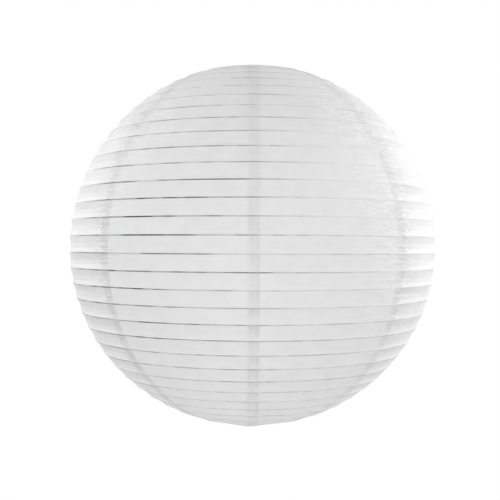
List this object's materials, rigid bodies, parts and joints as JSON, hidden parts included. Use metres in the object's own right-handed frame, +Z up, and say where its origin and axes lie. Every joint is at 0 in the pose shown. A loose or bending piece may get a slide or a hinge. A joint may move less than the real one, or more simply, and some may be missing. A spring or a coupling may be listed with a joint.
{
  "type": "accordion paper lantern",
  "caption": "Round folding paper lantern shade: lapped paper gores on level wire hoops, hung on a bent wire expander through its open mouths.",
  "frame": {"origin": "the point the lantern hangs from: the highest point inside the hump in the middle of the expander's bar, on the lantern's axis", "axes": "+Z up along the lantern's axis; one paper seam faces -Y; the expander's bar and legs lie in the XZ plane"},
  "size_m": [0.351, 0.351, 0.3428],
  "materials": {
    "paper": "thin matt white paper with a faint sheen, translucent",
    "rib_wire": "plain drawn wire",
    "ring_wire": "zinc plated wire",
    "expander_wire": "zinc plated spring wire"
  },
  "bodies": {
    "expander": {"expander": "expander_wire"},
    "shade_top": {"top_ring": "ring_wire", "paper_gore_1": "paper", "paper_gore_2": "paper", "paper_gore_3": "paper", "paper_gore_4": "paper", "paper_gore_5": "paper", "paper_gore_6": "paper", "paper_gore_7": "paper", "paper_gore_8": "paper"},
    "bottom_rim": {"bottom_ring": "ring_wire"},
    "rib_01": {"rib_hoop_01": "rib_wire"},
    "rib_02": {"rib_hoop_02": "rib_wire"},
    "rib_03": {"rib_hoop_03": "rib_wire"},
    "rib_04": {"rib_hoop_04": "rib_wire"},
    "rib_05": {"rib_hoop_05": "rib_wire"},
    "rib_06": {"rib_hoop_06": "rib_wire"},
    "rib_07": {"rib_hoop_07": "rib_wire"},
    "rib_08": {"rib_hoop_08": "rib_wire"},
    "rib_09": {"rib_hoop_09": "rib_wire"},
    "rib_10": {"rib_hoop_10": "rib_wire"},
    "rib_11": {"rib_hoop_11": "rib_wire"},
    "rib_12": {"rib_hoop_12": "rib_wire"},
    "rib_13": {"rib_hoop_13": "rib_wire"},
    "rib_14": {"rib_hoop_14": "rib_wire"},
    "rib_15": {"rib_hoop_15": "rib_wire"},
    "rib_16": {"rib_hoop_16": "rib_wire"},
    "rib_17": {"rib_hoop_17": "rib_wire"},
    "rib_18": {"rib_hoop_18": "rib_wire"},
    "rib_19": {"rib_hoop_19": "rib_wire"},
    "rib_20": {"rib_hoop_20": "rib_wire"},
    "rib_21": {"rib_hoop_21": "rib_wire"},
    "rib_22": {"rib_hoop_22": "rib_wire"},
    "rib_23": {"rib_hoop_23": "rib_wire"},
    "rib_24": {"rib_hoop_24": "rib_wire"},
    "rib_25": {"rib_hoop_25": "rib_wire"},
    "rib_26": {"rib_hoop_26": "rib_wire"},
    "rib_27": {"rib_hoop_27": "rib_wire"},
    "rib_28": {"rib_hoop_28": "rib_wire"}
  },
  "joints": [
    {"name": "shade_lift_off", "type": "slide", "parent": "expander", "child": "shade_top", "axis": [0, 0, 1], "range_m": [0, 0.36]},
    {"name": "shade_fold", "type": "slide", "parent": "shade_top", "child": "bottom_rim", "axis": [0, 0, 1], "range_m": [0, 0.2943], "deforming": ["paper_gore_1", "paper_gore_2", "paper_gore_3", "paper_gore_4", "paper_gore_5", "paper_gore_6", "paper_gore_7", "paper_gore_8"]},
    {"name": "rib_fold_01", "type": "slide", "parent": "shade_top", "child": "rib_01", "axis": [0, 0, 1], "range_m": [0, 0.00475]},
    {"name": "rib_fold_02", "type": "slide", "parent": "shade_top", "child": "rib_02", "axis": [0, 0, 1], "range_m": [0, 0.01045]},
    {"name": "rib_fold_03", "type": "slide", "parent": "shade_top", "child": "rib_03", "axis": [0, 0, 1], "range_m": [0, 0.01718]},
    {"name": "rib_fold_04", "type": "slide", "parent": "shade_top", "child": "rib_04", "axis": [0, 0, 1], "range_m": [0, 0.02489]},
    {"name": "rib_fold_05", "type": "slide", "parent": "shade_top", "child": "rib_05", "axis": [0, 0, 1], "range_m": [0, 0.03353]},
    {"name": "rib_fold_06", "type": "slide", "parent": "shade_top", "child": "rib_06", "axis": [0, 0, 1], "range_m": [0, 0.04302]},
    {"name": "rib_fold_07", "type": "slide", "parent": "shade_top", "child": "rib_07", "axis": [0, 0, 1], "range_m": [0, 0.05331]},
    {"name": "rib_fold_08", "type": "slide", "parent": "shade_top", "child": "rib_08", "axis": [0, 0, 1], "range_m": [0, 0.06432]},
    {"name": "rib_fold_09", "type": "slide", "parent": "shade_top", "child": "rib_09", "axis": [0, 0, 1], "range_m": [0, 0.07596]},
    {"name": "rib_fold_10", "type": "slide", "parent": "shade_top", "child": "rib_10", "axis": [0, 0, 1], "range_m": [0, 0.08816]},
    {"name": "rib_fold_11", "type": "slide", "parent": "shade_top", "child": "rib_11", "axis": [0, 0, 1], "range_m": [0, 0.10081]},
    {"name": "rib_fold_12", "type": "slide", "parent": "shade_top", "child": "rib_12", "axis": [0, 0, 1], "range_m": [0, 0.11384]},
    {"name": "rib_fold_13", "type": "slide", "parent": "shade_top", "child": "rib_13", "axis": [0, 0, 1], "range_m": [0, 0.12714]},
    {"name": "rib_fold_14", "type": "slide", "parent": "shade_top", "child": "rib_14", "axis": [0, 0, 1], "range_m": [0, 0.14061]},
    {"name": "rib_fold_15", "type": "slide", "parent": "shade_top", "child": "rib_15", "axis": [0, 0, 1], "range_m": [0, 0.15403]},
    {"name": "rib_fold_16", "type": "slide", "parent": "shade_top", "child": "rib_16", "axis": [0, 0, 1], "range_m": [0, 0.16699]},
    {"name": "rib_fold_17", "type": "slide", "parent": "shade_top", "child": "rib_17", "axis": [0, 0, 1], "range_m": [0, 0.17982]},
    {"name": "rib_fold_18", "type": "slide", "parent": "shade_top", "child": "rib_18", "axis": [0, 0, 1], "range_m": [0, 0.19245]},
    {"name": "rib_fold_19", "type": "slide", "parent": "shade_top", "child": "rib_19", "axis": [0, 0, 1], "range_m": [0, 0.20478]},
    {"name": "rib_fold_20", "type": "slide", "parent": "shade_top", "child": "rib_20", "axis": [0, 0, 1], "range_m": [0, 0.21671]},
    {"name": "rib_fold_21", "type": "slide", "parent": "shade_top", "child": "rib_21", "axis": [0, 0, 1], "range_m": [0, 0.22816]},
    {"name": "rib_fold_22", "type": "slide", "parent": "shade_top", "child": "rib_22", "axis": [0, 0, 1], "range_m": [0, 0.23905]},
    {"name": "rib_fold_23", "type": "slide", "parent": "shade_top", "child": "rib_23", "axis": [0, 0, 1], "range_m": [0, 0.24929]},
    {"name": "rib_fold_24", "type": "slide", "parent": "shade_top", "child": "rib_24", "axis": [0, 0, 1], "range_m": [0, 0.25881]},
    {"name": "rib_fold_25", "type": "slide", "parent": "shade_top", "child": "rib_25", "axis": [0, 0, 1], "range_m": [0, 0.26754]},
    {"name": "rib_fold_26", "type": "slide", "parent": "shade_top", "child": "rib_26", "axis": [0, 0, 1], "range_m": [0, 0.27542]},
    {"name": "rib_fold_27", "type": "slide", "parent": "shade_top", "child": "rib_27", "axis": [0, 0, 1], "range_m": [0, 0.28239]},
    {"name": "rib_fold_28", "type": "slide", "parent": "shade_top", "child": "rib_28", "axis": [0, 0, 1], "range_m": [0, 0.28839]}
  ],
  "couplings": [
    {"joint": "rib_fold_01", "follows": "shade_fold", "ratio": 0.016138},
    {"joint": "rib_fold_02", "follows": "shade_fold", "ratio": 0.035496},
    {"joint": "rib_fold_03", "follows": "shade_fold", "ratio": 0.058358},
    {"joint": "rib_fold_04", "follows": "shade_fold", "ratio": 0.084556},
    {"joint": "rib_fold_05", "follows": "shade_fold", "ratio": 0.1139},
    {"joint": "rib_fold_06", "follows": "shade_fold", "ratio": 0.14617},
    {"joint": "rib_fold_07", "follows": "shade_fold", "ratio": 0.18113},
    {"joint": "rib_fold_08", "follows": "shade_fold", "ratio": 0.21854},
    {"joint": "rib_fold_09", "follows": "shade_fold", "ratio": 0.2581},
    {"joint": "rib_fold_10", "follows": "shade_fold", "ratio": 0.29953},
    {"joint": "rib_fold_11", "follows": "shade_fold", "ratio": 0.34254},
    {"joint": "rib_fold_12", "follows": "shade_fold", "ratio": 0.38679},
    {"joint": "rib_fold_13", "follows": "shade_fold", "ratio": 0.43198},
    {"joint": "rib_fold_14", "follows": "shade_fold", "ratio": 0.47776},
    {"joint": "rib_fold_15", "follows": "shade_fold", "ratio": 0.52336},
    {"joint": "rib_fold_16", "follows": "shade_fold", "ratio": 0.56739},
    {"joint": "rib_fold_17", "follows": "shade_fold", "ratio": 0.61101},
    {"joint": "rib_fold_18", "follows": "shade_fold", "ratio": 0.65392},
    {"joint": "rib_fold_19", "follows": "shade_fold", "ratio": 0.6958},
    {"joint": "rib_fold_20", "follows": "shade_fold", "ratio": 0.73634},
    {"joint": "rib_fold_21", "follows": "shade_fold", "ratio": 0.77525},
    {"joint": "rib_fold_22", "follows": "shade_fold", "ratio": 0.81224},
    {"joint": "rib_fold_23", "follows": "shade_fold", "ratio": 0.84703},
    {"joint": "rib_fold_24", "follows": "shade_fold", "ratio": 0.87939},
    {"joint": "rib_fold_25", "follows": "shade_fold", "ratio": 0.90906},
    {"joint": "rib_fold_26", "follows": "shade_fold", "ratio": 0.93583},
    {"joint": "rib_fold_27", "follows": "shade_fold", "ratio": 0.9595},
    {"joint": "rib_fold_28", "follows": "shade_fold", "ratio": 0.9799}
  ]
}
